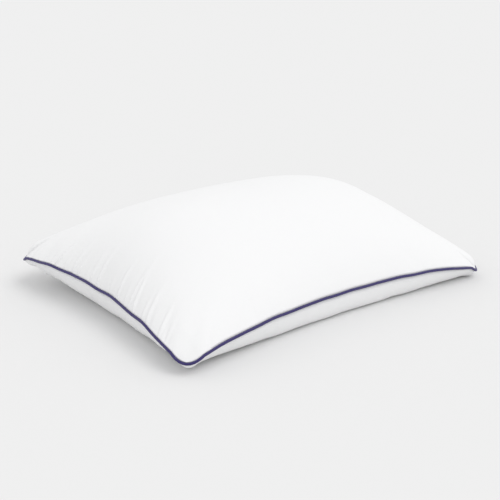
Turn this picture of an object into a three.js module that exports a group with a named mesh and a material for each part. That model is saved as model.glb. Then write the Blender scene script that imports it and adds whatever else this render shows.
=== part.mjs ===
// A bed pillow with a piped edge, lying on a flat surface.
// Two cotton panels are sewn together round a corded piping and closed over one body of fibre fill.
// Millimetres, +Z up. The origin is on the surface, under the middle of the pillow.
import * as THREE from "three";

// ---- Driving dimensions ------------------------------------------------------------------------

// The seam line of the filled pillow, seen from above.
const halfLength = 304;
const halfWidth = 234;
const cornerRadius = 34;
const longSideWaist = 18; // the filling draws the middle of a long side in by this much
const shortSideWaist = 16;

// Heights above the surface.
const crownHeight = 152;
const middleHeight = 33; // of the level midway between the panels, at the centre
const cornerHeights = [16, 12, 20, 36]; // front left, front right, back right, back left
const longSideRise = 25; // how far the seam climbs between its corners
const shortSideRise = 22;
const riseFlatness = 3;

// How each panel swells from its edge to its middle: [power, exponent] along X and along Y.
const topSwell = { lengthways: [3, 0.8], crossways: [2, 0.8] };
const bottomSwell = { lengthways: [2, 0.33], crossways: [2, 0.33] };
const bottomDrop = 90; // how far the bottom panel would hang if nothing held it up
const shoulderHeight = 10; // the small steep roll beside the piping
const shoulderPower = 40;
const layerPower = 16; // the layers reach their full depth this sharply, away from the edge

// Cloth, piping and stitching.
const fabricThickness = 0.5;
const seamAllowance = 10; // turned in beyond the stitch line
const pipingDiameter = 4;
const coverThickness = 0.4;
const stitchRoom = 1.5; // between the panels' inside faces and the stitch line
const threadDiameter = 0.5;
const overlockThickness = 0.4;
const overlockBite = 3; // how far the overlock thread reaches over the raw edges
const closingLength = 220; // of the hand-closed fill opening, in the right short side
const gap = 0.3; // between pieces that touch
const fillClearance = 3; // between the loose fill and the panels

// The blank care label, folded and caught in the back seam.
const labelWidth = 30;
const labelThickness = 0.3;
const labelHang = 34;
const labelPlace = 160; // from the middle of the back side towards the right
const labelFlare = 5;

// How finely the shapes are divided.
const longSideSteps = 14;
const shortSideSteps = 11;
const cornerSteps = 4;
const topRings = 9;
const bottomRings = 8;
const pipingSides = 10;
const threadSides = 5;
const stepsPerPoint = 3; // along a sewn thread

// ---- Sizes that follow ---------------------------------------------------------------------------

const pipingRadius = pipingDiameter / 2;
const cordRadius = pipingRadius - coverThickness - gap;
const threadRadius = threadDiameter / 2;

// Distances in from the middle of the piping. The panels' folds leave room for the label beside it.
const labelTurn = pipingRadius + gap;
const foldInset = labelTurn + labelThickness + gap;
const stitchInset = foldInset + fabricThickness + stitchRoom;
const allowanceEnd = stitchInset + seamAllowance;
const overlockStart = allowanceEnd - overlockBite;
const overlockEnd = allowanceEnd + gap + overlockThickness;
const fillInset = foldInset + fabricThickness + fillClearance;
const fillSlotEnd = overlockEnd + gap;

// Levels in the seam from the middle of the piping: near and far faces of each ply.
const slit = gap / 2; // between the two plies of the piping's flange, each side of the middle
const flangeFace = slit + coverThickness;
const topLip = { near: flangeFace + gap, far: flangeFace + gap + fabricThickness };
const labelRoot = { near: flangeFace + gap, far: flangeFace + gap + labelThickness };
const bottomLip = { near: labelRoot.far + gap, far: labelRoot.far + gap + fabricThickness };
const slotTop = topLip.far + gap + Math.max(threadDiameter, overlockThickness) + gap;
const slotBottom = bottomLip.far + gap + Math.max(threadDiameter, overlockThickness) + gap;

// ---- The seam line -------------------------------------------------------------------------------

// The four sides in turn, anticlockwise from the front, each with the direction it runs in.
const sides = [
  { run: [1, 0], out: [0, -1], reach: halfLength, depth: halfWidth, long: true },
  { run: [0, 1], out: [1, 0], reach: halfWidth, depth: halfLength, long: false },
  { run: [-1, 0], out: [0, 1], reach: halfLength, depth: halfWidth, long: true },
  { run: [0, -1], out: [-1, 0], reach: halfWidth, depth: halfLength, long: false },
];

// The number of stations from the start of one side to the start of the next.
function stationsOn(side) {
  return (side.long ? longSideSteps : shortSideSteps) + cornerSteps;
}

// The height of the seam at a share of -1 to 1 along a side.
function sideHeight(index, share) {
  const start = cornerHeights[index];
  const end = cornerHeights[(index + 1) % 4];
  const rise = sides[index].long ? longSideRise : shortSideRise;
  const t = (share + 1) / 2;
  return start * (1 - t) + end * t + rise * (1 - Math.abs(share) ** riseFlatness);
}

function place(side, along, outward, height) {
  const x = side.run[0] * along + side.out[0] * outward;
  const y = side.run[1] * along + side.out[1] * outward;
  return new THREE.Vector3(x, y, height);
}

// One side's straight stretch, drawn in at its middle.
function sidePoints(side, index) {
  const straight = side.reach - cornerRadius;
  const steps = stationsOn(side) - cornerSteps;
  const waist = side.long ? longSideWaist : shortSideWaist;
  return Array.from({ length: steps }, (_, i) => {
    const along = ((2 * i) / steps - 1) * straight;
    const outward = side.depth - waistAt(waist, along, side.reach);
    return place(side, along, outward, sideHeight(index, along / side.reach));
  });
}

// The round corner after a side, dipping to its own height in the middle of the turn.
function cornerPoints(side, index) {
  const next = (index + 1) % 4;
  const before = sideHeight(index, 1 - cornerRadius / side.reach);
  const after = sideHeight(next, cornerRadius / sides[next].reach - 1);
  return Array.from({ length: cornerSteps }, (_, i) => {
    const t = i / cornerSteps;
    const turn = (t * Math.PI) / 2;
    const along = side.reach - cornerRadius * (1 - Math.sin(turn));
    const outward = side.depth - cornerRadius * (1 - Math.cos(turn));
    const edge = t < 0.5 ? before : after;
    return place(side, along, outward, edge + (cornerHeights[next] - edge) * Math.sin(t * Math.PI));
  });
}

const seam = sides.flatMap((side, i) => [...sidePoints(side, i), ...cornerPoints(side, i)]);

// The level direction that points into the pillow at each station.
const inward = seam.map((_, i) => {
  const before = seam[(i + seam.length - 1) % seam.length];
  const after = seam[(i + 1) % seam.length];
  return new THREE.Vector3(before.y - after.y, after.x - before.x, 0).normalize();
});

// A point set in from the seam line by a distance, and raised from it.
function seamPoint(station, inset, raise) {
  const i = station % seam.length;
  const point = seam[i].clone().addScaledVector(inward[i], inset);
  point.z += raise;
  return point;
}

function seamRing(inset, raise) {
  return seam.map((_, i) => seamPoint(i, inset, raise));
}

// The station, in parts of a step, at a distance along a side from its middle.
function stationOf(index, along) {
  const first = sides.slice(0, index).reduce((sum, side) => sum + stationsOn(side), 0);
  const straight = sides[index].reach - cornerRadius;
  const steps = stationsOn(sides[index]) - cornerSteps;
  return first + ((along + straight) / (2 * straight)) * steps;
}

function betweenStations(station, inset, raise) {
  const low = Math.floor(station);
  return seamPoint(low, inset, raise).lerp(seamPoint(low + 1, inset, raise), station - low);
}

// ---- Swelling surfaces -----------------------------------------------------------------------------

// How far in the seam is drawn at a place along a side, from the side's middle.
function waistAt(waist, along, reach) {
  const share = Math.min(Math.abs(along) / (reach - cornerRadius), 1);
  return waist * (1 - share ** 2) ** 2;
}

// 0 at the edge and 1 in the middle, at a share of the way out to a point on the seam line. It is the
// same for every layer, so a layer set in from the seam line keeps clear of the layer outside it.
function swell(edge, share, shape, depth) {
  const x = edge.x * share;
  const y = edge.y * share;
  const lengthwise = Math.abs(x) / (halfLength - waistAt(shortSideWaist, y, halfWidth));
  const crosswise = Math.abs(y) / (halfWidth - waistAt(longSideWaist, x, halfLength));
  const [powerX, exponentX] = shape.lengthways;
  const [powerY, exponentY] = shape.crossways;
  const dome = (1 - lengthwise ** powerX) ** exponentX * (1 - crosswise ** powerY) ** exponentY;
  const shoulder = shoulderHeight / depth;
  return Math.sqrt(1 - share ** shoulderPower) * (shoulder + (1 - shoulder) * dome);
}

// The level midway between the panels, from the seam line to the centre.
function middleLevel(edge, share) {
  return edge.z * share ** 2 + middleHeight * (1 - share ** 2);
}

// How much of a layer's full depth below the surface is reached at a share of the way out.
function layerShare(share) {
  return 1 - share ** layerPower;
}

// The rings of a layer of the upper half, from its edge towards its middle. The layer starts a little
// above the seam line, and lies under the outer surface by the thickness of what is over it.
function upperRings(inset, raise, over) {
  return shares(topRings).map((share) =>
    seamRing(inset, 0).map((edge, i) => {
      const full = swell(seam[i], share, topSwell, crownHeight - middleHeight);
      const crown = (crownHeight - middleHeight) * full - over * layerShare(share);
      const z = middleLevel(edge, share) + raise * (1 - full) + crown;
      return new THREE.Vector3(edge.x * share, edge.y * share, z);
    }),
  );
}

// The same for the lower half, which is flat where it rests.
function lowerRings(inset, lower, under) {
  return shares(bottomRings).map((share) =>
    seamRing(inset, 0).map((edge, i) => {
      const full = swell(seam[i], share, bottomSwell, bottomDrop);
      const belly = bottomDrop * full - under * layerShare(share);
      const z = middleLevel(edge, share) - lower * (1 - full) - belly;
      return new THREE.Vector3(edge.x * share, edge.y * share, Math.max(z, under));
    }),
  );
}

// Shares of the way out, closest together near the edge.
function shares(count) {
  return Array.from({ length: count }, (_, i) => Math.cos((i / count) * (Math.PI / 2)));
}

// ---- Meshes ------------------------------------------------------------------------------------------

function geometryFrom(points, faces) {
  const flat = points.flatMap((p) => [p.x, p.y, p.z]);
  let volume = 0;
  for (const [a, b, c] of faces) {
    volume += points[a].dot(points[b].clone().cross(points[c]));
  }
  const outward = volume < 0 ? faces.map(([a, b, c]) => [a, c, b]) : faces;
  const geometry = new THREE.BufferGeometry();
  geometry.setAttribute("position", new THREE.Float32BufferAttribute(flat, 3));
  geometry.setIndex(outward.flat());
  geometry.computeVertexNormals();
  return geometry;
}

// How far a ring reaches from the middle, on average.
function ringReach(ring) {
  return ring.reduce((sum, point) => sum + Math.hypot(point.x, point.y), 0) / ring.length;
}

// Joins rings that each go once round the pillow. The first and last ring close on a middle point,
// or on each other where no middle points are given. Every quad is cut from the station before on its
// outer ring to the station after on its inner ring, so that nested pieces share the same facets.
function joinRings(rings, middles) {
  const count = seam.length;
  const points = rings.flat();
  const faces = [];
  const pairs = middles ? rings.length - 1 : rings.length;
  for (let r = 0; r < pairs; r++) {
    const next = (r + 1) % rings.length;
    const here = r * count;
    const there = next * count;
    const inwards = ringReach(rings[r]) > ringReach(rings[next]);
    for (let i = 0; i < count; i++) {
      const j = (i + 1) % count;
      if (inwards) {
        faces.push([here + i, here + j, there + j], [here + i, there + j, there + i]);
      } else {
        faces.push([here + i, here + j, there + i], [here + j, there + j, there + i]);
      }
    }
  }
  if (middles) {
    const last = (rings.length - 1) * count;
    points.push(...middles);
    for (let i = 0; i < count; i++) {
      const j = (i + 1) % count;
      faces.push([rings.length * count, j, i], [rings.length * count + 1, last + i, last + j]);
    }
  }
  return geometryFrom(points, faces);
}

// A band with the same section all the way round the seam.
function seamBand(section) {
  return joinRings(section.map(([inset, raise]) => seamRing(inset, raise)));
}

function roundSection(inset, raise, radius, count) {
  return Array.from({ length: count }, (_, i) => {
    const angle = (i / count) * 2 * Math.PI;
    return [inset + radius * Math.cos(angle), raise + radius * Math.sin(angle)];
  });
}

// A thin sheet between two matching grids of points.
function slab(front, back) {
  const rows = front.length;
  const columns = front[0].length;
  const points = [...front.flat(), ...back.flat()];
  const at = (face, row, column) => (face * rows + row) * columns + column;
  const faces = [];
  const quad = (a, b, c, d) => faces.push([a, b, c], [a, c, d]);
  for (let r = 0; r + 1 < rows; r++) {
    for (let c = 0; c + 1 < columns; c++) {
      quad(at(0, r, c), at(0, r, c + 1), at(0, r + 1, c + 1), at(0, r + 1, c));
      quad(at(1, r, c), at(1, r + 1, c), at(1, r + 1, c + 1), at(1, r, c + 1));
    }
    quad(at(0, r, 0), at(0, r + 1, 0), at(1, r + 1, 0), at(1, r, 0));
    quad(at(0, r + 1, columns - 1), at(0, r, columns - 1), at(1, r, columns - 1), at(1, r + 1, columns - 1));
  }
  for (let c = 0; c + 1 < columns; c++) {
    quad(at(0, 0, c + 1), at(0, 0, c), at(1, 0, c), at(1, 0, c + 1));
    quad(at(0, rows - 1, c), at(0, rows - 1, c + 1), at(1, rows - 1, c + 1), at(1, rows - 1, c));
  }
  return geometryFrom(points, faces);
}

// ---- Pieces ------------------------------------------------------------------------------------------

const middle = (height) => new THREE.Vector3(0, 0, height);

// The top panel: a swollen sheet whose edge folds in beside the piping to lie on its flange.
function topPanel() {
  const outside = upperRings(foldInset, topLip.near, 0);
  const inside = upperRings(foldInset + fabricThickness, topLip.far, fabricThickness);
  const rawEdge = [
    seamRing(allowanceEnd, topLip.near),
    seamRing(allowanceEnd, topLip.far),
    seamRing(overlockStart, topLip.far),
    seamRing(stitchInset, topLip.far),
  ];
  const rings = [...outside.reverse(), ...rawEdge, ...inside];
  return joinRings(rings, [middle(crownHeight), middle(crownHeight - fabricThickness)]);
}

// The bottom panel, flat where it rests, with its edge folded in under the piping's flange.
function bottomPanel() {
  const outside = lowerRings(foldInset, bottomLip.near, 0);
  const inside = lowerRings(foldInset + fabricThickness, bottomLip.far, fabricThickness);
  const rawEdge = [
    seamRing(allowanceEnd, -bottomLip.near),
    seamRing(allowanceEnd, -bottomLip.far),
    seamRing(overlockStart, -bottomLip.far),
    seamRing(stitchInset, -bottomLip.far),
  ];
  const rings = [...outside.reverse(), ...rawEdge, ...inside];
  return joinRings(rings, [middle(0), middle(fabricThickness)]);
}

// The fill: the whole inside of the cover, with a slot all round for the seam's turned-in edges.
function fibreFill() {
  const skin = fabricThickness + fillClearance;
  const top = upperRings(fillInset, slotTop, skin);
  const bottom = lowerRings(fillInset, slotBottom, skin);
  const slot = [
    seamRing(overlockStart, slotTop),
    seamRing(fillSlotEnd, slotTop),
    seamRing(fillSlotEnd, -slotBottom),
    seamRing(overlockStart, -slotBottom),
  ];
  return joinRings([...top.reverse(), ...slot, ...bottom], [middle(crownHeight - skin), middle(skin)]);
}

// The piping's bias strip: once round the cord, then two plies that run into the seam.
function pipingCover() {
  const arc = (radius, face) => {
    const start = Math.asin(face / radius);
    const sweep = 2 * Math.PI - 2 * start;
    return Array.from({ length: pipingSides }, (_, i) => {
      const angle = start + (i / (pipingSides - 1)) * sweep;
      return [radius * Math.cos(angle), radius * Math.sin(angle)];
    });
  };
  const outside = arc(pipingRadius, flangeFace);
  const inside = arc(pipingRadius - coverThickness, slit).reverse();
  const upperPly = [[allowanceEnd, slit], [allowanceEnd, flangeFace], [foldInset, flangeFace]];
  const lowerPly = [[foldInset, -flangeFace], [allowanceEnd, -flangeFace], [allowanceEnd, -slit]];
  return seamBand([...upperPly, ...outside, ...lowerPly, ...inside]);
}

function pipingCord() {
  return seamBand(roundSection(0, 0, cordRadius, pipingSides - 2));
}

// The lockstitch that holds the plies together: its needle thread lies above, its bobbin thread below.
function stitchThread(raise) {
  return seamBand(roundSection(stitchInset, raise, threadRadius, threadSides));
}

// The overlock thread that binds the raw edges of all the plies.
function overlockThread() {
  const inner = { top: topLip.far + gap, bottom: -bottomLip.far - gap, end: allowanceEnd + gap };
  return seamBand([
    [overlockStart, inner.top],
    [inner.end, inner.top],
    [inner.end, inner.bottom],
    [overlockStart, inner.bottom],
    [overlockStart, inner.bottom - overlockThickness],
    [overlockEnd, inner.bottom - overlockThickness],
    [overlockEnd, inner.top + overlockThickness],
    [overlockStart, inner.top + overlockThickness],
  ]);
}

// The thread that closes the fill opening, in the nook between the piping and the bottom panel.
function closingThread() {
  const inset = foldInset - gap - threadRadius;
  const raise = -bottomLip.near - gap;
  const first = stationOf(1, -closingLength / 2);
  const last = stationOf(1, closingLength / 2);
  const points = [betweenStations(first, inset, raise)];
  for (let station = Math.ceil(first); station < last; station++) {
    points.push(seamPoint(station, inset, raise));
  }
  points.push(betweenStations(last, inset, raise));
  const section = new THREE.Shape();
  section.setFromPoints(
    roundSection(0, 0, threadRadius, threadSides).map(([x, y]) => new THREE.Vector2(x, y)),
  );
  const path = new THREE.CatmullRomCurve3(points);
  return new THREE.ExtrudeGeometry(section, { steps: stepsPerPoint * points.length, extrudePath: path });
}

// The care label: its root lies in the seam under the flange, and its folded end hangs outside.
function careLabel() {
  const profile = (root, inset) => [
    [stitchInset + seamAllowance / 2, -root],
    [inset, -root],
    [inset, -bottomLip.far],
    [inset - labelFlare, -labelHang / 2],
    [inset - labelFlare, -labelHang],
  ];
  const grid = (points) =>
    [-0.5, 0, 0.5].map((share) => {
      const station = stationOf(2, -labelPlace + share * labelWidth);
      return points.map(([inset, raise]) => betweenStations(station, inset, raise));
    });
  return slab(
    grid(profile(labelRoot.near, labelTurn)),
    grid(profile(labelRoot.far, labelTurn + labelThickness)),
  );
}

// ---- Assembly ------------------------------------------------------------------------------------------

const cotton = { color: 0xfafafa, roughness: 0.85, metalness: 0 };
const pipingCloth = { color: 0x2f2a66, roughness: 0.8, metalness: 0 };
const cordCotton = { color: 0xe9e4d8, roughness: 0.9, metalness: 0 };
const fibre = { color: 0xf4f4f2, roughness: 1, metalness: 0 };
const thread = { color: 0xf2f2f0, roughness: 0.6, metalness: 0 };
const satin = { color: 0xf6f6f6, roughness: 0.45, metalness: 0 };

function piece(name, geometry, finish) {
  const mesh = new THREE.Mesh(geometry, new THREE.MeshStandardMaterial(finish));
  mesh.name = name;
  return mesh;
}

const pillow = new THREE.Group();
pillow.add(
  piece("top_panel", topPanel(), cotton),
  piece("bottom_panel", bottomPanel(), cotton),
  piece("piping_cover", pipingCover(), pipingCloth),
  piece("piping_cord", pipingCord(), cordCotton),
  piece("fibre_fill", fibreFill(), fibre),
  piece("seam_needle_thread", stitchThread(topLip.far + gap + threadRadius), thread),
  piece("seam_bobbin_thread", stitchThread(-bottomLip.far - gap - threadRadius), thread),
  piece("overlock_thread", overlockThread(), thread),
  piece("closing_thread", closingThread(), thread),
  piece("care_label", careLabel(), satin),
);

export default pillow;
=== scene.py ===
"""A bed pillow with a piped edge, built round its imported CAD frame.

The cover is two cotton panels, which a cloth simulation fills between the seam line and the
surface that the pillow lies on. The folds that the stitching draws up are raised on the result.
The piping, the stitching, the care label and the fill follow the same seam line. Everything is in
metres, +Z up, with the origin under the middle of the pillow.
"""

import logging
import math
from dataclasses import dataclass, field
from enum import Enum

import bmesh
import bpy
from mathutils import Matrix, Vector, noise


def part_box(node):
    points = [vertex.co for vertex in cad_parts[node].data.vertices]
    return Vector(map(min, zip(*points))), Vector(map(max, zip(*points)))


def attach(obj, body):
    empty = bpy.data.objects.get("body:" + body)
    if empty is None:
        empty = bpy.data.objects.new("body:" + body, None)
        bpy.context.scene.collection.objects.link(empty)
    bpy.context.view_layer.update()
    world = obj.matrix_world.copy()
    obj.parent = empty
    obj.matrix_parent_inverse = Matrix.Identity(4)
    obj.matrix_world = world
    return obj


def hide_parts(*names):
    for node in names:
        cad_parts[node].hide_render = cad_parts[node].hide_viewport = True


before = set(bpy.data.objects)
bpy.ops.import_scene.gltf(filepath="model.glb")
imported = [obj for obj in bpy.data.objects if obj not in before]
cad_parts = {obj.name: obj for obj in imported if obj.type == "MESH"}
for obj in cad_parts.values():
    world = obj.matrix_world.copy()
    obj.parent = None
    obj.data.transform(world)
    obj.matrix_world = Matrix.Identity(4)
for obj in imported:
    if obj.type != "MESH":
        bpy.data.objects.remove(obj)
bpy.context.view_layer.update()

ROOT = "root"
PIPING_RADIUS = 0.002

logging.basicConfig(level=logging.INFO, format="%(message)s")
log = logging.getLogger("pillow")


# ---- Shader maths ----


# The Mix node's colour sockets, whose names other sockets share.
MIX_FIRST, MIX_SECOND, MIX_RESULT = 6, 7, 2


class Net:
    """A material's node tree."""

    def __init__(self, name: str) -> None:
        """Starts an empty material of this name."""
        self.material = bpy.data.materials.new(name)
        self.material.use_nodes = True
        self.tree = self.material.node_tree
        self.tree.nodes.clear()

    def node(
        self, kind: str, settings: dict | None = None, inputs: dict | None = None
    ) -> bpy.types.Node:
        """Creates a node.

        Args:
            kind: The node's type without its "ShaderNode" prefix.
            settings: Properties to set before the sockets.
            inputs: Socket name or index to a value, a Signal or an output socket.
        """
        made = self.tree.nodes.new("ShaderNode" + kind)
        for name, value in (settings or {}).items():
            setattr(made, name, value)
        for name, value in (inputs or {}).items():
            self._feed(made.inputs[name], value)
        return made

    def _feed(self, socket: bpy.types.NodeSocket, value: object) -> None:
        """Links or sets one input socket."""
        if isinstance(value, Signal):
            value = value.socket
        if isinstance(value, bpy.types.NodeSocket):
            self.tree.links.new(value, socket)
        elif isinstance(value, tuple) and len(value) == 3 and socket.type == "RGBA":
            socket.default_value = (*value, 1.0)
        else:
            socket.default_value = value

    def signal(
        self, kind: str, output: str, settings: dict | None = None, inputs: dict | None = None
    ) -> "Signal":
        """Creates a node, and returns one of its outputs as a Signal."""
        return Signal(self, self.node(kind, settings, inputs).outputs[output])

    def attribute(self, name: str) -> "Signal":
        """The value of a mesh attribute."""
        return self.signal("Attribute", "Fac", {"attribute_name": name})

    def object_place(self) -> "Signal":
        """The point in object coordinates."""
        return self.signal("TexCoord", "Object")

    def noise(
        self, at: "Signal", scale: float, detail: float = 2.0, rough: float = 0.5
    ) -> "Signal":
        """Smooth noise from 0 to 1 at a place, with this many bumps to the metre."""
        inputs = {"Vector": at, "Scale": scale, "Detail": detail, "Roughness": rough}
        return self.signal("TexNoise", "Fac", None, inputs)

    def mix(self, factor: object, first: object, second: object) -> "Signal":
        """A colour between two colours."""
        made = self.node("Mix", {"data_type": "RGBA"})
        self._feed(made.inputs["Factor"], factor)
        self._feed(made.inputs[MIX_FIRST], first)
        self._feed(made.inputs[MIX_SECOND], second)
        return Signal(self, made.outputs[MIX_RESULT])

    def bump(
        self, height: "Signal", distance: float, strength: float, under: "Signal | None" = None
    ) -> "Signal":
        """A normal raised by a height of about 0 to 1, laid over another normal if one is given."""
        inputs = {"Height": height, "Distance": distance, "Strength": strength}
        if under is not None:
            inputs["Normal"] = under
        return self.signal("Bump", "Normal", None, inputs)

    def finish(
        self, colour: object, roughness: "Signal", normal: "Signal | None", shine: dict
    ) -> bpy.types.Material:
        """Adds the output and the surface shader, whose specular and sheen are in shine."""
        inputs = {**shine, "Base Color": colour, "Roughness": roughness}
        if normal is not None:
            inputs["Normal"] = normal
        shader = self.node("BsdfPrincipled", None, inputs)
        self.node("OutputMaterial", None, {"Surface": shader.outputs["BSDF"]})
        return self.material


class Signal:
    """An output socket on which sums can be written as expressions."""

    def __init__(self, net: Net, socket: bpy.types.NodeSocket) -> None:
        """Wraps a socket of a net."""
        self.net = net
        self.socket = socket

    def _math(self, operation: str, first: object, second: object = None) -> "Signal":
        """Adds one Math node."""
        inputs = {0: first} if second is None else {0: first, 1: second}
        return self.net.signal("Math", "Value", {"operation": operation}, inputs)

    def __add__(self, other: object) -> "Signal":
        """Adds."""
        return self._math("ADD", self, other)

    __radd__ = __add__

    def __sub__(self, other: object) -> "Signal":
        """Subtracts."""
        return self._math("SUBTRACT", self, other)

    def __mul__(self, other: object) -> "Signal":
        """Multiplies."""
        return self._math("MULTIPLY", self, other)

    def sine(self) -> "Signal":
        """The sine."""
        return self._math("SINE", self)

    def size(self) -> "Signal":
        """The value without its sign."""
        return self._math("ABSOLUTE", self)

    def part(self, name: str) -> "Signal":
        """The X, Y or Z part of a vector."""
        return self.net.signal("SeparateXYZ", name, None, {0: self})


# ---- Finishes ----


@dataclass(frozen=True)
class PlainWeave:
    """Close plain-woven cotton, as on the two panels."""

    colour: tuple = (0.885, 0.886, 0.89)
    shade: tuple = (0.86, 0.862, 0.868)
    threads: float = 3300.0  # to the metre
    thread_height: float = 0.00005
    slub_scale: float = 320.0
    crumple_scale: float = 38.0
    crumple_height: float = 0.0011

    def make(self, name: str) -> bpy.types.Material:
        """Builds the material, which reads the UV map "weave", the flat cloth in metres."""
        net = Net(name)
        flat = net.signal("UVMap", "UV", {"uv_map": "weave"})
        turn = math.pi * self.threads
        warp = (flat.part("X") * turn).sine()
        weft = (flat.part("Y") * turn).sine()
        slub = net.noise(flat, self.slub_scale, detail=3.0, rough=0.6)
        crumple = net.noise(flat, self.crumple_scale, detail=4.0)
        tone = net.mix(slub, self.colour, self.shade)
        soft = net.bump(crumple, self.crumple_height, 0.25)
        woven = net.bump(warp * weft + slub * 2.0, self.thread_height, 0.35, soft)
        shine = {"Specular IOR Level": 0.25, "Sheen Weight": 0.12, "Sheen Roughness": 0.5}
        return net.finish(tone, 0.8 + slub * 0.12, woven, shine)


@dataclass(frozen=True)
class BiasCloth:
    """The dark bias-cut cloth of the piping, with its weave running askew round the cord."""

    colour: tuple = (0.016, 0.012, 0.062)
    worn: tuple = (0.028, 0.021, 0.105)
    threads: float = 2600.0
    thread_height: float = 0.00009
    pucker_scale: float = 170.0
    pucker_height: float = 0.0006
    pucker_round: float = 0.35  # how fast puckers change round the cord, against along it
    lint_scale: float = 900.0

    def make(self, name: str) -> bpy.types.Material:
        """Builds the material, which reads the attributes "along" and "around", in metres."""
        net = Net(name)
        along = net.attribute("along")
        around = net.attribute("around")
        turn = math.pi * self.threads
        warp = ((along + around) * turn).sine()
        weft = ((along - around) * turn).sine()
        turned = {0: along, 1: around * self.pucker_round, 2: 0.0}
        place = net.signal("CombineXYZ", "Vector", None, turned)
        pucker = net.noise(place, self.pucker_scale)
        lint = net.noise(net.object_place(), self.lint_scale, detail=3.0, rough=0.6)
        tone = net.mix(lint, self.colour, self.worn)
        folds = net.bump(pucker, self.pucker_height, 0.5)
        woven = net.bump(warp * weft, self.thread_height, 0.5, folds)
        shine = {
            "Specular IOR Level": 1.0,
            "Specular Tint": (0.5, 0.44, 1.0, 1.0),
            "Sheen Weight": 0.08,
            "Sheen Roughness": 0.4,
            "Sheen Tint": (0.5, 0.45, 1.0, 1.0),
        }
        return net.finish(tone, 0.34 + lint * 0.16, woven, shine)


@dataclass(frozen=True)
class TwistedYarn:
    """Yarn or cord with its strands laid round it, which reads "along" and "around"."""

    colour: tuple
    # The shade is painted shade, which make lays in the grooves between the strands.
    shade: tuple
    lay: float  # strands to the metre along the yarn
    strand_height: float
    gloss: float = 0.2
    fuzz_scale: float = 1500.0

    def make(self, name: str) -> bpy.types.Material:
        """Builds the material."""
        net = Net(name)
        slope = (net.attribute("along") + net.attribute("around")) * (math.pi * self.lay)
        strand = slope.sine().size()
        fuzz = net.noise(net.object_place(), self.fuzz_scale, detail=3.0, rough=0.6)
        # Painted shade: the colour darkens to the shade where the strands and fuzz sit lowest, in
        # the grooves.
        tone = net.mix(strand * 0.7 + fuzz * 0.3, self.shade, self.colour)
        normal = net.bump(strand + fuzz * 0.3, self.strand_height, 0.7)
        shine = {"Specular IOR Level": self.gloss, "Sheen Weight": 0.2}
        return net.finish(tone, 0.7 + fuzz * 0.2, normal, shine)


@dataclass(frozen=True)
class LooseFibre:
    """Crimped white polyester fibre, matted into tufts."""

    colour: tuple = (0.86, 0.865, 0.87)
    # The shade is painted shade for the hollows between tufts and fibres.
    shade: tuple = (0.7, 0.71, 0.73)
    tuft_scale: float = 45.0
    tuft_height: float = 0.004
    fibre_scale: float = 700.0
    fibre_height: float = 0.0008

    def make(self, name: str) -> bpy.types.Material:
        """Builds the material."""
        net = Net(name)
        place = net.object_place()
        tuft = net.noise(place, self.tuft_scale, detail=3.0, rough=0.6)
        fibre = net.noise(place, self.fibre_scale, detail=5.0, rough=0.75)
        # Painted shade: the colour darkens to the shade where the tufts and fibres sit lowest.
        tone = net.mix(tuft * 0.5 + fibre * 0.5, self.shade, self.colour)
        tufted = net.bump(tuft, self.tuft_height, 0.6)
        normal = net.bump(fibre, self.fibre_height, 0.7, tufted)
        shine = {"Specular IOR Level": 0.2, "Sheen Weight": 0.4}
        return net.finish(tone, 0.9 + tuft * 0.1, normal, shine)


@dataclass(frozen=True)
class Satin:
    """A white satin ribbon with fine ribs across it."""

    colour: tuple = (0.86, 0.86, 0.87)
    # The shade is partly painted shade in the troughs between the ribs and partly random fleck
    # tone.
    shade: tuple = (0.8, 0.8, 0.82)
    ribs: float = 2400.0  # to the metre
    rib_height: float = 0.00005
    fleck_scale: float = 800.0

    def make(self, name: str) -> bpy.types.Material:
        """Builds the material, which reads the UV map "weave"."""
        net = Net(name)
        flat = net.signal("UVMap", "UV", {"uv_map": "weave"})
        rib = (flat.part("Y") * (math.pi * self.ribs)).sine().size()
        fleck = net.noise(flat, self.fleck_scale, detail=3.0)
        # Half painted shade, darker in the troughs between the ribs, and half random flecks of
        # tone.
        tone = net.mix(rib * 0.5 + fleck * 0.5, self.shade, self.colour)
        normal = net.bump(rib, self.rib_height, 0.5)
        shine = {"Specular IOR Level": 0.5, "Sheen Weight": 0.1}
        return net.finish(tone, 0.32 + fleck * 0.1, normal, shine)


@dataclass(frozen=True)
class PaperFloor:
    """A plain pale studio floor."""

    colour: tuple = (0.8, 0.8, 0.8)
    grain_scale: float = 6.0

    def make(self, name: str) -> bpy.types.Material:
        """Builds the material."""
        net = Net(name)
        grain = net.noise(net.object_place(), self.grain_scale)
        return net.finish(self.colour, 0.95 + grain * 0.05, None, {"Specular IOR Level": 0.0})


# ---- The seam line ----


class Side(Enum):
    """The four sides, anticlockwise seen from above, each with its run and its outward way."""

    FRONT = ((1, 0), (0, -1))
    RIGHT = ((0, 1), (1, 0))
    BACK = ((-1, 0), (0, 1))
    LEFT = ((0, -1), (-1, 0))

    @property
    def is_long(self) -> bool:
        """Whether the side runs along the pillow's length."""
        return self in (Side.FRONT, Side.BACK)


SIDES = list(Side)
SIDE_PHASE = 1.7  # between the waves of one side and the next
LONG_SIDE_RIPPLE = 0.55  # of the short sides' ripple
RIPPLE_FADE = 8  # the power by which the ripple dies out at the corners
# Each wave of the ripple: metres to the radian, share of the phase and share of the height.
UP_WAVES = ((0.0135, 1.0, 0.55), (0.0083, 2.3, 0.3))
OUT_WAVES = ((0.0171, 3.1, 0.6),)


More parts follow.
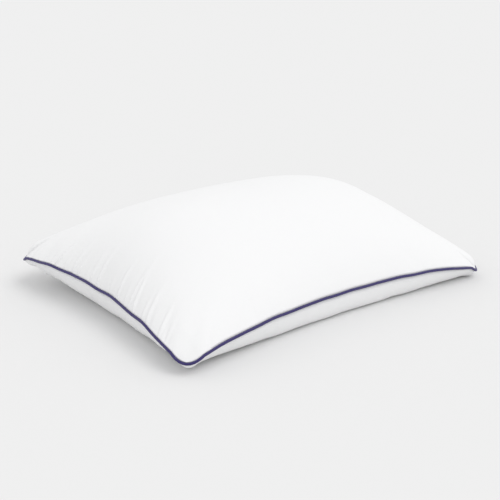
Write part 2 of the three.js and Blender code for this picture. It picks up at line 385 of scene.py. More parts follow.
@dataclass(frozen=True)
class Edge:
    """A closed rounded rectangle, drawn in along its sides, whose corners differ in height."""

    half_length: float
    half_width: float
    corner_radius: float
    long_waist: float = 0.0
    short_waist: float = 0.0
    corner_heights: tuple = (0.0,) * len(SIDES)
    long_rise: float = 0.0
    short_rise: float = 0.0
    rise_power: float = 3.0
    ripple: float = 0.0

    def reach(self, side: Side) -> float:
        """Half of the side's own length."""
        return self.half_length if side.is_long else self.half_width

    def depth(self, side: Side) -> float:
        """How far the side lies from the middle."""
        return self.half_width if side.is_long else self.half_length

    def half_run(self, side: Side) -> float:
        """Half of the side's length, from corner to corner round half of each bend."""
        return self.reach(side) + self.corner_radius * (math.pi / 4 - 1)

    def waist(self, side: Side, along: float) -> float:
        """How far the side is drawn in at a place along it."""
        straight = self.reach(side) - self.corner_radius
        deepest = self.long_waist if side.is_long else self.short_waist
        return deepest * (1 - min(abs(along) / straight, 1.0) ** 2) ** 2

    def _height(self, side: Side, along: float) -> float:
        """The height of the side's straight stretch."""
        first = SIDES.index(side)
        start = self.corner_heights[first]
        end = self.corner_heights[(first + 1) % len(SIDES)]
        share = along / self.reach(side)
        rise = self.long_rise if side.is_long else self.short_rise
        climb = rise * (1 - abs(share) ** self.rise_power)
        return start + (end - start) * (share + 1) / 2 + climb

    def _wave(self, side: Side, run: float) -> Vector:
        """The small waves that the gathered cloth gives the piping: outward, and up."""
        phase = SIDE_PHASE * SIDES.index(side)
        fade = 1 - (run / self.half_run(side)) ** RIPPLE_FADE
        gathered = LONG_SIDE_RIPPLE if side.is_long else 1.0
        out, up = (
            sum(math.sin(run / length + shift * phase) * share for length, shift, share in waves)
            for waves in (OUT_WAVES, UP_WAVES)
        )
        return Vector((out, up)) * (self.ripple * gathered * fade)

    def at(self, side: Side, share: float) -> Vector:
        """The point at a share of a side.

        The share goes from -1, the middle of the corner before the side, to 1, that of the next.
        """
        run = share * self.half_run(side)
        straight = self.reach(side) - self.corner_radius
        if abs(run) <= straight:
            along = run
            outward = self.depth(side) - self.waist(side, along)
            height = self._height(side, along)
        else:
            turn = (abs(run) - straight) / self.corner_radius
            along = math.copysign(straight + self.corner_radius * math.sin(turn), run)
            outward = self.depth(side) - self.corner_radius * (1 - math.cos(turn))
            level = self._height(side, math.copysign(straight, run))
            corner = self.corner_heights[(SIDES.index(side) + (run > 0)) % len(SIDES)]
            height = level + (corner - level) * math.sin(2 * turn)
        wave = self._wave(side, run)
        way, out = side.value
        x = way[0] * along + out[0] * (outward + wave.x)
        y = way[1] * along + out[1] * (outward + wave.x)
        return Vector((x, y, height + wave.y))

    def spaced(self, step: float) -> list:
        """Points all the way round, about a step apart, from the middle of the first corner."""
        points = []
        for side in SIDES:
            count = round(2 * self.half_run(side) / step)
            points += [self.at(side, 2 * i / count - 1) for i in range(count)]
        return points


@dataclass(frozen=True)
class Station:
    """A place on the seam line, with the ways that things lie there."""

    point: Vector
    inward: Vector
    forward: Vector
    travelled: float

    def place(self, inset: float, raised: float) -> Vector:
        """The point that lies inwards and up from the seam line by these distances."""
        return self.point + self.inward * inset + Vector((0, 0, raised))

    def matrix(self, inset: float = 0.0, raised: float = 0.0, scale: float = 1.0) -> Matrix:
        """The frame for a section drawn in X inwards and Y up."""
        up = self.inward.cross(self.forward)
        rows = Matrix((self.inward * scale, up * scale, self.forward * scale))
        made = rows.transposed().to_4x4()
        made.translation = self.place(inset, raised)
        return made


def stations(edge: Edge, step: float) -> list:
    """Stations all the way round an edge, in order and about a step apart."""
    points = edge.spaced(step)
    count = len(points)
    made = []
    travelled = 0.0
    for i, point in enumerate(points):
        ahead = points[(i + 1) % count]
        forward = (ahead - points[i - 1]).normalized()
        inward = Vector((-forward.y, forward.x, 0)).normalized()
        made.append(Station(point, inward, forward, travelled))
        travelled += (ahead - point).length
    return made


# ---- Mesh helpers ----


WELD = 1e-6  # the distance within which two points are one
THIN_WELD = 1e-7  # the same on pieces as thin as thread
TINY = 1e-12  # less than any real difference


def new_object(name: str, bm: bmesh.types.BMesh, smooth: bool = True) -> bpy.types.Object:
    """Makes an object of a bmesh, which it frees, and links it to the scene."""
    mesh = bpy.data.meshes.new(name)
    bm.to_mesh(mesh)
    bm.free()
    for polygon in mesh.polygons:
        polygon.use_smooth = smooth
    made = bpy.data.objects.new(name, mesh)
    bpy.context.scene.collection.objects.link(made)
    return made


def sweep(name: str, section: list, frames: list, ring: list) -> bpy.types.Object:
    """Carries a closed section round a closed line.

    Args:
        name: The object's name.
        section: The section's points in turn, as (inwards, up).
        frames: A matrix for each station.
        ring: The stations of the line.

    Returns:
        The object, with the attributes "along" and "around" in metres.
    """
    bm = bmesh.new()
    along = bm.verts.layers.float.new("along")
    around = bm.verts.layers.float.new("around")
    steps, sides = len(frames), len(section)
    lengths = [math.dist(section[(i + 1) % sides], section[i]) for i in range(sides)]
    grid = bmesh.ops.create_grid(bm, x_segments=steps, y_segments=sides, size=1.0)
    for vert in grid["verts"]:
        i = round((vert.co.x + 1) / 2 * steps)
        j = round((vert.co.y + 1) / 2 * sides)
        vert[along] = ring[i % steps].travelled
        vert[around] = sum(lengths[:j])
        x, y = section[j % sides]
        vert.co = frames[i % steps] @ Vector((x, y, 0))
    bmesh.ops.remove_doubles(bm, verts=bm.verts, dist=THIN_WELD)
    bmesh.ops.recalc_face_normals(bm, faces=bm.faces)
    return new_object(name, bm)


def circle(radius: float, sides: int) -> list:
    """The points of a round section."""
    angles = [2 * math.pi * i / sides for i in range(sides)]
    return [(radius * math.cos(angle), radius * math.sin(angle)) for angle in angles]


def apply_modifiers(piece: bpy.types.Object) -> None:
    """Replaces a piece's mesh by what its modifiers make of it."""
    graph = bpy.context.evaluated_depsgraph_get()
    made = bpy.data.meshes.new_from_object(piece.evaluated_get(graph))
    piece.modifiers.clear()
    piece.data = made


def dress(piece: bpy.types.Object, material: bpy.types.Material, slot: str, *nodes: str) -> None:
    """Gives a piece its material, its body and the CAD nodes that it replaces."""
    piece.data.materials.clear()
    piece.data.materials.append(material)
    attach(piece, ROOT)
    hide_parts(*nodes)


# ---- The cover ----


class Half(Enum):
    """The two halves of the cover, with the face mark of each."""

    TOP = 1
    BOTTOM = 0


@dataclass(frozen=True)
class Swell:
    """How a half swells from its edge to its middle.

    Each way across has a power and an exponent, and the corners are flatter by a share and a power.
    """

    lengthways: tuple
    crossways: tuple
    corners: tuple = (0.0, 1.0)

    def dome(self, x: float, y: float) -> float:
        """The swell at a share of the half length and half width."""
        (px, ex), (py, ey), (flatness, power) = self.lengthways, self.crossways, self.corners
        x, y = min(abs(x), 1.0), min(abs(y), 1.0)
        return (1 - x**px) ** ex * (1 - y**py) ** ey * (1 - flatness * (x * y) ** power)


@dataclass(frozen=True)
class Gather:
    """One small fold that the stitching draws up, running in from the seam and fading out."""

    at: float  # along the side, from its middle
    length: float
    width: float
    height: float
    lean: float = 0.0

    FAR = 2.2  # lengths in, where it ends
    WIDE = 3.0  # widths to each side, where it ends
    SPREAD = 0.9  # how much wider it is one length in
    HOLLOW = 1.1  # how steeply its sides fall below the cloth
    ROOT = 0.003  # metres in which it rises beside the seam

    def height_at(self, run: float, depth: float) -> float:
        """How high the fold stands, at a run along the side and a depth in from the seam."""
        if depth > self.FAR * self.length:
            return 0.0
        widened = self.width * (1 + self.SPREAD * depth / self.length)
        across = (run - self.at - self.lean * depth) / widened
        if abs(across) > self.WIDE:
            return 0.0
        ridge = (1 - self.HOLLOW * across * across) * math.exp(-across * across)
        rise = 1 - math.exp(-depth / self.ROOT)
        return self.height * ridge * rise * math.exp(-((depth / self.length) ** 2))


@dataclass(frozen=True)
class GatherRow:
    """A row of gathers in loose clusters along a side."""

    reach: float  # half of the side's length
    count: int
    height: float  # of the tallest
    clear: float = 0.0  # the share of the side's middle that stays smooth
    filled: float = 0.93  # of the reach
    drift: float = 0.012
    strengths: tuple = (0.2, 1.9)  # the least, and the part of chance
    lengths: tuple = (0.013, 0.028)  # the shortest, and the part of strength
    widths: tuple = (0.0028, 0.0013)  # the middle one, and the part of chance
    leans: tuple = (0.25, 0.12)  # the part of chance, and the way towards the corners

    def make(self, seed: int) -> list:
        """Makes the gathers, in a pattern that the seed sets."""
        made = []
        for i in range(self.count):
            drift = self._chance(i * 0.61, seed * 7.3, 0.2) * self.drift
            least, added = self.strengths
            strength = min(least + added * abs(self._chance(i * 0.37, seed * 3.1, 5.0)), 1.0)
            place = ((i + 0.5) / self.count * 2 - 1) * self.filled * self.reach + drift
            if abs(place) < self.clear * self.reach:
                continue
            made.append(Gather(
                at=place,
                length=self.lengths[0] + self.lengths[1] * strength**2,
                width=self.widths[0] + self.widths[1] * self._chance(i * 1.7, seed, 9.0),
                height=self.height * strength,
                lean=self.leans[0] * self._chance(i * 0.9, seed, 2.0)
                + self.leans[1] * place / self.reach,
            ))
        return made

    def _chance(self, *place: float) -> float:
        """A number from -1 to 1 that is always the same at a place of the pattern."""
        return noise.noise(Vector(place))


LONG_ROW = GatherRow(reach=0.28, count=16, height=0.0006, clear=0.45)
SHORT_ROWS = {
    Half.TOP: GatherRow(reach=0.21, count=22, height=0.0034),
    Half.BOTTOM: GatherRow(reach=0.21, count=22, height=0.0011),
}
# The broad folds and dimples of the top beside its corners.
CORNER_FOLDS = {
    Side.FRONT: [Gather(-0.262, 0.018, 0.006, -0.0014)],
    Side.RIGHT: [Gather(-0.215, 0.020, 0.014, 0.0070)],
    Side.BACK: [Gather(0.284, 0.022, 0.016, 0.0080), Gather(0.247, 0.020, 0.004, -0.0016)],
    Side.LEFT: [Gather(-0.196, 0.022, 0.0045, -0.0016), Gather(0.187, 0.016, 0.006, -0.0018)],
}


def all_gathers() -> dict:
    """The gathers of each side of each half, most of them along the short sides."""
    found = {}
    for half in Half:
        for number, side in enumerate(SIDES):
            row = LONG_ROW if side.is_long else SHORT_ROWS[half]
            found[half, side] = row.make(10 * half.value + number)
    for side, folds in CORNER_FOLDS.items():
        found[Half.TOP, side] += folds
    return found


CLOTH = {
    "quality": 6,
    "mass": 0.1,
    "tension_stiffness": 15,
    "compression_stiffness": 15,
    "shear_stiffness": 5,
    "bending_stiffness": 0.5,
    "use_pressure": True,
}


@dataclass
class Cover:
    """The two panels and the fill between them."""

    edge: Edge
    crown: float
    middle: float = 0.033
    middle_power: float = 1.2  # how quickly the mid height leaves the edge's own
    square_power: int = 4  # how quickly the plan leaves the edge's shape
    cut: Edge = Edge(0.330, 0.254, 0.04)
    top_swell: Swell = Swell((3.0, 0.95), (2.0, 1.0), (0.8, 1.5))
    bottom_swell: Swell = Swell((2.0, 0.38), (2.0, 0.38), (0.35, 3.0))
    bottom_drop: float = 0.100
    shoulder: float = 0.008  # the steep roll of the top beside the piping
    under_shoulder: float = 0.003
    shoulder_power: int = 40
    start_share: float = 0.985  # of the crown's height, before the cloth is let out
    resting_depth: float = 0.012  # under the surface, where points are held on it instead
    cells: tuple = (104, 80)
    spare_cloth: float = 0.001
    gathered_cloth: float = 0.02
    gather_width: float = 0.09
    gather_power: float = 1.5
    corner_ease: tuple = (0.6, 4)  # the share of it that the corners lack, and the power
    pressure: float = 10.0
    frames: int = 24
    thickness: float = 0.0004
    tuck: float = 0.0010
    lip_raise: float = 0.0018
    lip_drop: float = 0.6  # the share of it that the turned-in edge loses
    allowance: float = 0.0125
    rim_step: float = 0.004  # between the stations that show the way in from the seam
    fine_width: float = 0.04  # of the top's ends, which are divided finely
    fill_gap: float = 0.0035
    fill_floor: float = 0.002
    lump_height: float = 0.0015
    lump_scale: float = 22.0
    fill_rim: float = 0.12  # the share of the way in that draws back
    fill_draw: float = 0.045
    gathers: dict = field(default_factory=all_gathers)

    def _ring(self, u: float, v: float) -> tuple:
        """The side, the share along it and the share of the way out of a place in the square."""
        out = max(abs(u), abs(v))
        if out < TINY:
            return Side.FRONT, 0.0, 0.0
        if abs(v) >= abs(u) - TINY:
            return (Side.FRONT, u / abs(v), out) if v < 0 else (Side.BACK, -u / abs(v), out)
        return (Side.RIGHT, v / abs(u), out) if u > 0 else (Side.LEFT, -v / abs(u), out)

    def _spread(self, edge: Edge, u: float, v: float) -> Vector:
        """The plan of an edge's inside: square in the middle and following the edge near it."""
        side, share, out = self._ring(u, v)
        rim = edge.at(side, share)
        blend = out**self.square_power
        x = (1 - blend) * u * edge.half_length + blend * out * rim.x
        y = (1 - blend) * v * edge.half_width + blend * out * rim.y
        return Vector((x, y, self._level(edge, u, v)))

    def _level(self, edge: Edge, u: float, v: float) -> float:
        """The height midway between the halves: the edge's own there, and even in the middle."""
        front, back = edge.at(Side.FRONT, u).z, edge.at(Side.BACK, -u).z
        left, right = edge.at(Side.LEFT, -v).z, edge.at(Side.RIGHT, v).z
        near = (1 - u) * edge.corner_heights[0] + (1 + u) * edge.corner_heights[1]
        far = (1 - u) * edge.corner_heights[3] + (1 + u) * edge.corner_heights[2]
        sides = (1 - v) * front + (1 + v) * back + (1 - u) * left + (1 + u) * right
        spanned = sides / 2 - ((1 - v) * near + (1 + v) * far) / 4
        middle = ((1 - u * u) * (1 - v * v)) ** self.middle_power
        return spanned * (1 - middle) + self.middle * middle

    def _shares(self, place: Vector) -> tuple:
        """Where a place lies as shares of the half length and half width there."""
        across = self.edge.half_length - self.edge.waist(Side.RIGHT, place.y)
        deep = self.edge.half_width - self.edge.waist(Side.FRONT, place.x)
        return place.x / across, place.y / deep

    def _loft(self, half: Half, u: float, v: float) -> tuple:
        """The point of a half before it is filled, and whether it is held there."""
        place = self._spread(self.edge, u, v)
        out = max(abs(u), abs(v))
        on_seam = out > 1 - WELD
        roll = math.sqrt(max(1 - out**self.shoulder_power, 0.0))
        if half is Half.TOP:
            depth = self.crown - self.middle
            dome = self.top_swell.dome(*self._shares(place))
            full = roll * (self.shoulder + (depth - self.shoulder) * dome)
            return place + Vector((0, 0, full * self.start_share)), on_seam
        dome = self.bottom_swell.dome(*self._shares(place))
        full = roll * (self.under_shoulder + (self.bottom_drop - self.under_shoulder) * dome)
        resting = place.z - full < -self.resting_depth
        return Vector((place.x, place.y, max(place.z - full, 0.0))), on_seam or resting

    def _gather(self, place: Vector) -> float:
        """How strongly the cloth is gathered at a place: most beside the short sides."""
        x, y = self._shares(place)
        ends = max(0.0, 1 - (1 - abs(x)) * self.edge.half_length / self.gather_width)
        lack, power = self.corner_ease
        return ends**self.gather_power * (1 - lack * abs(y) ** power)

    def _blank(self) -> bmesh.types.BMesh:
        """The closed cover before it is filled, with its held and its gathered points marked."""
        bm = bmesh.new()
        flat = bm.verts.layers.float_vector.new("flat")
        held = bm.verts.layers.float.new("held")
        spare = bm.verts.layers.float.new("spare")
        unit = bm.verts.layers.float_vector.new("unit")
        mark = bm.faces.layers.int.new("half")
        for half in Half:
            columns, rows = self.cells
            made = bmesh.ops.create_grid(bm, x_segments=columns, y_segments=rows, size=1.0)
            faces = {face for vert in made["verts"] for face in vert.link_faces}
            for face in faces:
                face[mark] = half.value
            if half is Half.BOTTOM:
                bmesh.ops.reverse_faces(bm, faces=list(faces))
            for vert in made["verts"]:
                u, v = vert.co.x, vert.co.y
                cloth = self._spread(self.cut, u, v)
                vert[flat] = (cloth.x, cloth.y, 0.0)
                vert[unit] = (u, v, 0.0)
                vert.co, fixed = self._loft(half, u, v)
                vert[held] = 1.0 if fixed else 0.0
                vert[spare] = self._gather(vert.co) if half is Half.TOP else 0.0
        bmesh.ops.remove_doubles(bm, verts=bm.verts, dist=WELD)
        return bm

    def fill(self) -> bpy.types.Object:
        """Lets the closed cover out under pressure from inside, and applies the simulation."""
        cover = new_object("cover", self._blank())
        for name in ("held", "spare"):
            group = cover.vertex_groups.new(name=name)
            for index, mark in enumerate(cover.data.attributes[name].data):
                group.add([index], mark.value, "REPLACE")
        cloth = cover.modifiers.new("cloth", "CLOTH")
        cloth.point_cache.frame_end = self.frames
        cloth.collision_settings.use_collision = False
        settings = cloth.settings
        for name, value in CLOTH.items():
            setattr(settings, name, value)
        settings.uniform_pressure_force = self.pressure
        settings.vertex_group_mass = "held"
        settings.vertex_group_shrink = "spare"
        settings.shrink_min = -self.spare_cloth
        settings.shrink_max = -self.gathered_cloth
        settings.effector_weights.gravity = 0
        scene = bpy.context.scene
        for step in range(1, self.frames + 1):
            scene.frame_set(step)
        apply_modifiers(cover)
        for vert in cover.data.vertices:
            vert.co.z = max(vert.co.z, 0.0)
        scene.frame_set(1)
        return cover

    def panel(self, cover: bpy.types.Object, half: Half, name: str) -> bpy.types.Object:
        """Cuts one half off the filled cover, and turns its edge in beside the piping."""
        bm = bmesh.new()
        bm.from_mesh(cover.data)
        mark = bm.faces.layers.int["half"]
        crease = bm.edges.layers.float.new("crease_edge")
        other = [face for face in bm.faces if face[mark] != half.value]
        bmesh.ops.delete(bm, geom=other, context="FACES")
        raised = self.lip_raise if half is Half.TOP else -self.lip_raise
        rim = [edge for edge in bm.edges if edge.is_boundary]
        inward = self._inward({vert for edge in rim for vert in edge.verts})
        for vert, way in inward.items():
            vert.co += way * self.tuck + Vector((0, 0, raised))
        for edge in rim:
            edge[crease] = 1.0
        made = bmesh.ops.extrude_edge_only(bm, edges=rim)["geom"]
        lip = [item for item in made if isinstance(item, bmesh.types.BMVert)]
        for vert, way in self._inward(lip).items():
            back = Vector((0, 0, self.lip_drop * raised))
            vert.co += way * (self.allowance - self.tuck) - back
        self._lay_weave(bm)
        bmesh.ops.recalc_face_normals(bm, faces=bm.faces)
        panel = new_object(name, bm)
        smooth = panel.modifiers.new("smooth", "SUBSURF")
        smooth.levels = smooth.render_levels = 1
        apply_modifiers(panel)
        self._gather_cloth(panel, half)
        cloth = panel.modifiers.new("thickness", "SOLIDIFY")
        cloth.thickness = self.thickness
        cloth.offset = -1.0
        return panel

    def _gather_cloth(self, panel: bpy.types.Object, half: Half) -> None:
        """Divides the top's gathered ends finely, and raises the gathers of either half."""
        bm = bmesh.new()
        bm.from_mesh(panel.data)
        unit = bm.verts.layers.float_vector["unit"]
        if half is Half.TOP:
            end = 1 - self.fine_width / self.edge.half_length
            fine = [edge for edge in bm.edges if min(abs(v[unit].x) for v in edge.verts) > end]
            bmesh.ops.subdivide_edges(bm, edges=fine, cuts=1, use_grid_fill=True)
        bm.normal_update()
        for vert in bm.verts:
            side, share, out = self._ring(*vert[unit].xy)
            run, depth = share * self.edge.half_run(side), (1 - out) * self.edge.depth(side)
            if not vert.is_boundary:
                folds = self.gathers[half, side]
                vert.co += vert.normal * sum(fold.height_at(run, depth) for fold in folds)
            vert.co.z = max(vert.co.z, 0.0)
        bm.to_mesh(panel.data)
        bm.free()

    def _inward(self, verts: list) -> dict:
        """The level way into the pillow at each vertex of the seam."""
        ring = stations(self.edge, self.rim_step)
        return {
            vert: min(ring, key=lambda at: (at.point.xy - vert.co.xy).length_squared).inward
            for vert in verts
        }

    def _lay_weave(self, bm: bmesh.types.BMesh) -> None:
        """Gives every face corner its place on the flat cloth as the UV map "weave"."""
        flat = bm.verts.layers.float_vector["flat"]
        weave = bm.loops.layers.uv.new("weave")
        for face in bm.faces:
            for loop in face.loops:
                loop[weave].uv = loop.vert[flat].xy

    def filling(self, cover: bpy.types.Object, name: str) -> bpy.types.Object:
        """The fibre fill: the inside of the cover, set back from the cloth and the seam."""
        bm = bmesh.new()
        bm.from_mesh(cover.data)
        unit = bm.verts.layers.float_vector["unit"]
        bm.normal_update()
        for vert in bm.verts:
            lump = noise.noise(vert.co * self.lump_scale)
            vert.co -= vert.normal * (self.fill_gap + self.lump_height * (1 + lump))
            out = max(abs(vert[unit].x), abs(vert[unit].y))
            near = max(0.0, 1 - (1 - out) / self.fill_rim)
            vert.co.xy *= 1 - self.fill_draw * near
        bmesh.ops.smooth_vert(
            bm, verts=bm.verts, factor=0.5, use_axis_x=True, use_axis_y=True, use_axis_z=True
        )
        for vert in bm.verts:
            vert.co.z = max(vert.co.z, self.fill_floor)
        return new_object(name, bm)

    def build(self) -> None:
        """Builds and dresses the panels and the fill."""
        cover = self.fill()
        cotton = PlainWeave().make("cotton_cover")
        top = self.panel(cover, Half.TOP, "panel_top")
        bottom = self.panel(cover, Half.BOTTOM, "panel_bottom")
        dress(top, cotton, "cotton_cover", "top_panel")
        dress(bottom, cotton, "cotton_cover", "bottom_panel")
        filling = self.filling(cover, "fill")
        dress(filling, LooseFibre().make("fibre_fill"), "fibre_fill", "fibre_fill")
        bpy.data.objects.remove(cover)


# ---- Piping and stitching ----


@dataclass
class Piping:
    """The bias strip wrapped round its cord, with the flange that runs into the seam."""

    edge: Edge
    radius: float
    step: float = 0.005
    cloth: float = 0.0004
    slit: float = 0.00015
    flange: float = 0.0135
    cord_radius: float = 0.0013
    cord_sides: int = 10
    arc_points: int = 15
    plumpness: float = 0.035  # how much the strip's size changes along it
    plump_scale: float = 90.0

    def _arc(self, radius: float, height: float) -> list:
        """The way round the cord, between ends this high above and below the flange's middle."""
        start = math.asin(height / radius)
        turn = 2 * math.pi - 2 * start
        angles = [start + turn * i / (self.arc_points - 1) for i in range(self.arc_points)]
        return [(radius * math.cos(angle), radius * math.sin(angle)) for angle in angles]

    def _section(self) -> list:
        """Once round the cord and out along both plies of the flange."""
        face = self.slit + self.cloth
        outside = self._arc(self.radius, face)
        inside = self._arc(self.radius - self.cloth, self.slit)[::-1]
        upper = [(self.flange, self.slit), (self.flange, face)]
        lower = [(self.flange, -face), (self.flange, -self.slit)]
        return [*upper, *outside, *lower, *inside]

    def _plump(self, station: Station) -> float:
        """The strip's size at a station, as a share."""
        along = station.travelled * self.plump_scale
        return 1 + self.plumpness * noise.noise(Vector((along, 0, 0)))

    def build(self) -> None:
        """Builds and dresses the strip and the cord."""
        ring = stations(self.edge, self.step)
        frames = [station.matrix(scale=self._plump(station)) for station in ring]
        strip = sweep("piping_strip", self._section(), frames, ring)
        dress(strip, BiasCloth().make("piping_cloth"), "piping_cloth", "piping_cover")
        frames = [station.matrix() for station in ring]
        cord = sweep("piping_core", circle(self.cord_radius, self.cord_sides), frames, ring)
        # The shade given here is painted shade for the grooves between the cord's strands.
        yarn = TwistedYarn(
            colour=(0.84, 0.81, 0.74), shade=(0.6, 0.57, 0.5), lay=420.0, strand_height=0.0004
        )
        dress(cord, yarn.make("cord_core"), "cord_core", "piping_cord")


@dataclass
class Stitching:
    """The threads of the seam: the lockstitch, the overlock and the hand-closed opening."""

    edge: Edge
    thread: float = 0.00025
    thread_sides: int = 5
    stitch: float = 0.0026
    # The places of one stitch in turn, inwards and up from the seam line.
    needle: tuple = ((0.0054, 0.0015), (0.0054, 0.0019), (0.0054, 0.0019))
    bobbin: tuple = ((0.0054, -0.0021), (0.0054, -0.0025), (0.0054, -0.0025))
    overlock: tuple = ((0.0125, 0.0019), (0.0155, 0.0009), (0.0125, -0.0027))
    closing: float = 0.110  # half of the fill opening
    ladder: float = 0.0055  # between the closing stitches
    ladder_sides: int = 6
    # Where a closing stitch starts and ends, inwards and down, in radii of the piping.
    ladder_start: tuple = (0.2, 0.98)
    ladder_end: tuple = (0.95, 1.75)
    lean: float = 0.0005
    lean_turn: float = 2.1  # radians from one closing stitch's lean to the next
    ahead: float = 0.01  # the share of the side that shows which way it runs

    def _stitches(self, name: str, path: tuple) -> bpy.types.Object:
        """Carries a thread round the whole seam, through the places of one stitch after another."""
        ring = stations(self.edge, self.stitch / len(path))
        frames = [station.matrix(*path[i % len(path)]) for i, station in enumerate(ring)]
        return sweep(name, circle(self.thread, self.thread_sides), frames, ring)

    def _closing(self, name: str) -> bpy.types.Object:
        """The hand stitches that draw the bottom panel to the piping along the fill opening."""
        run = self.edge.half_run(Side.RIGHT)
        count = round(2 * self.closing / self.ladder)
        bm = bmesh.new()
        for i in range(count):
            share = ((i + 0.5) / count * 2 - 1) * self.closing / run
            here = self.edge.at(Side.RIGHT, share)
            forward = (self.edge.at(Side.RIGHT, share + self.ahead) - here).normalized()
            seam = Station(here, Vector((-forward.y, forward.x, 0)).normalized(), forward, 0.0)
            start, end = (
                seam.place(inwards * PIPING_RADIUS, -down * PIPING_RADIUS)
                for inwards, down in (self.ladder_start, self.ladder_end)
            )
            end += forward * (self.lean * math.sin(self.lean_turn * i))
            way = end - start
            turn = way.to_track_quat("Z", "Y").to_matrix().to_4x4()
            bmesh.ops.create_cone(
                bm, cap_ends=True, segments=self.ladder_sides, radius1=self.thread,
                radius2=self.thread, depth=way.length,
                matrix=Matrix.Translation((start + end) / 2) @ turn,
            )
        along = bm.verts.layers.float.new("along")
        around = bm.verts.layers.float.new("around")
        for vert in bm.verts:
            vert[along] = vert.co.z
            vert[around] = vert.co.y
        return new_object(name, bm)

    def build(self) -> None:
        """Builds and dresses the threads."""
        # The shade given here is painted shade for the grooves between the thread's strands.
        yarn = TwistedYarn(
            colour=(0.82, 0.82, 0.81), shade=(0.66, 0.66, 0.65), lay=1800.0, strand_height=0.00008
        )
        finish = yarn.make("sewing_thread")
        for name, path, node in (
            ("lockstitch_needle", self.needle, "seam_needle_thread"),
            ("lockstitch_bobbin", self.bobbin, "seam_bobbin_thread"),
            ("overlock_stitches", self.overlock, "overlock_thread"),
        ):
            dress(self._stitches(name, path), finish, "sewing_thread", node)
        dress(self._closing("closing_stitches"), finish, "sewing_thread", "closing_thread")


@dataclass
class CareLabel:
    """The blank folded label, caught in the back seam."""

    edge: Edge
    place: float = -0.160
    width: float = 0.030
    hang: float = 0.034
    gap: float = 0.0009  # half of the space between the two plies
    cells: tuple = (12, 40)
    thickness: float = 0.00022
    root_out: float = 0.0012
    root_drop: float = 0.001
    billow: tuple = (0.0075, 1.9)  # the depth, and the turn from root to fold
    curl: tuple = (0.0006, 3.0)  # the depth, and the turn to one side
    parted: float = 6.0  # how quickly the plies part above the fold
    settle: tuple = (0.0004, 0.9, 8)  # the drop, the share of the hang it takes, and its power

    def _place(self, u: float, v: float) -> Vector:
        """Where a point of the ribbon lies, with u across it and v along it, both from -1 to 1."""
        along = self.place + u * self.width / 2
        here = self.edge.at(Side.BACK, along / self.edge.half_run(Side.BACK))
        down = 1 - abs(v)
        drop, share, power = self.settle
        settled = drop * math.sqrt(max(1 - (1 - min(down / share, 1.0)) ** power, 0.0))
        billow = self.billow[0] * math.sin(down * self.billow[1]) ** 2
        out = self.root_out + billow + self.curl[0] * math.sin(self.curl[1] * u)
        apart = math.copysign(self.gap, v) * min(1.0, (1 - down) * self.parted) if v else 0.0
        return here + Vector((0, out + apart, -self.root_drop - self.hang * down - settled))

    def build(self) -> None:
        """Builds and dresses the label."""
        bm = bmesh.new()
        columns, rows = self.cells
        grid = bmesh.ops.create_grid(bm, x_segments=columns, y_segments=rows, size=1.0)
        weave = bm.loops.layers.uv.new("weave")
        for face in bm.faces:
            for loop in face.loops:
                u, v = loop.vert.co.xy
                loop[weave].uv = (u * self.width / 2, v * self.hang)
        for vert in grid["verts"]:
            vert.co = self._place(*vert.co.xy)
        label = new_object("label", bm)
        cloth = label.modifiers.new("thickness", "SOLIDIFY")
        cloth.thickness = self.thickness
        cloth.offset = 0.0
        dress(label, Satin().make("label_satin"), "label_satin", "care_label")


# ---- Studio ----


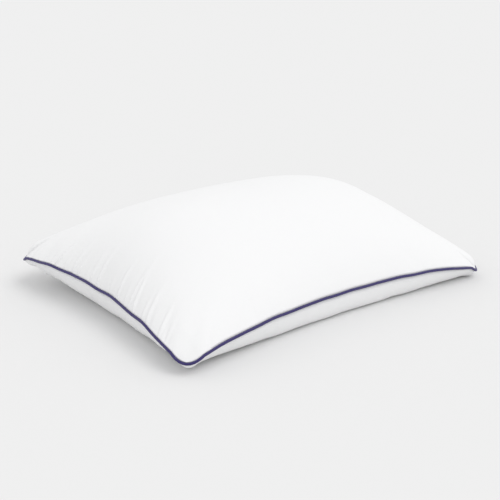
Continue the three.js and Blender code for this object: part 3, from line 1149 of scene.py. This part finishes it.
@dataclass
class Studio:
    """The floor, the light and the camera."""

    azimuth: float = -39.0
    elevation: float = 19.2
    distance: float = 1.633
    target: tuple = (-0.0057, 0.0, 0.051)
    lens: float = 72.0
    sensor: float = 36.0
    floor_reach: float = 30.0
    sky: float = 0.87
    sun: float = 0.77
    sun_azimuth: float = 30.0
    sun_elevation: float = 62.0
    sun_spread: float = 45.0

    def _way(self, azimuth: float, elevation: float) -> Vector:
        """The way from the pillow towards an azimuth and elevation."""
        turn, lift = math.radians(azimuth), math.radians(elevation)
        return Vector((
            math.sin(turn) * math.cos(lift), -math.cos(turn) * math.cos(lift), math.sin(lift)
        ))

    def _floor(self) -> None:
        """A wide plain floor."""
        bm = bmesh.new()
        bmesh.ops.create_grid(bm, x_segments=1, y_segments=1, size=self.floor_reach)
        floor = new_object("floor", bm, smooth=False)
        floor.data.materials.append(PaperFloor().make("floor"))

    def _light(self) -> None:
        """An even white sky and one broad soft light from the front right."""
        world = bpy.data.worlds.new("studio")
        world.use_nodes = True
        background = world.node_tree.nodes["Background"]
        background.inputs["Color"].default_value = (1.0, 1.0, 1.0, 1.0)
        background.inputs["Strength"].default_value = self.sky
        bpy.context.scene.world = world
        lamp = bpy.data.lights.new("soft_sun", "SUN")
        lamp.energy = self.sun
        lamp.angle = math.radians(self.sun_spread)
        sun = bpy.data.objects.new("soft_sun", lamp)
        towards = self._way(self.sun_azimuth, self.sun_elevation)
        sun.rotation_euler = towards.to_track_quat("Z", "Y").to_euler()
        bpy.context.scene.collection.objects.link(sun)

    def _camera(self) -> None:
        """The camera, on the pillow's near left."""
        data = bpy.data.cameras.new("camera")
        data.lens = self.lens
        data.sensor_width = self.sensor
        camera = bpy.data.objects.new("camera", data)
        back = self._way(self.azimuth, self.elevation)
        camera.location = Vector(self.target) + back * self.distance
        camera.rotation_euler = back.to_track_quat("Z", "Y").to_euler()
        bpy.context.scene.collection.objects.link(camera)
        bpy.context.scene.camera = camera

    def build(self) -> None:
        """Sets up the studio."""
        self._camera()
        self._floor()
        self._light()
        scene = bpy.context.scene
        scene.view_settings.view_transform = "Standard"
        scene.view_settings.look = "None"


def main() -> None:
    """Builds the pillow round the frame."""
    Studio().build()
    low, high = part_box("piping_cover")
    edge = Edge(
        half_length=(high[0] - low[0]) / 2 - PIPING_RADIUS,
        half_width=(high[1] - low[1]) / 2 - PIPING_RADIUS,
        corner_radius=0.031,
        long_waist=0.018,
        short_waist=0.016,
        corner_heights=(0.017, 0.012, 0.020, 0.039),
        long_rise=0.027,
        short_rise=0.022,
        rise_power=4.0,
        ripple=0.0011,
    )
    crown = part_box("top_panel")[1][2]
    Cover(edge, crown).build()
    Piping(edge, PIPING_RADIUS).build()
    Stitching(edge).build()
    CareLabel(edge).build()


if __name__ == "__main__":
    main()
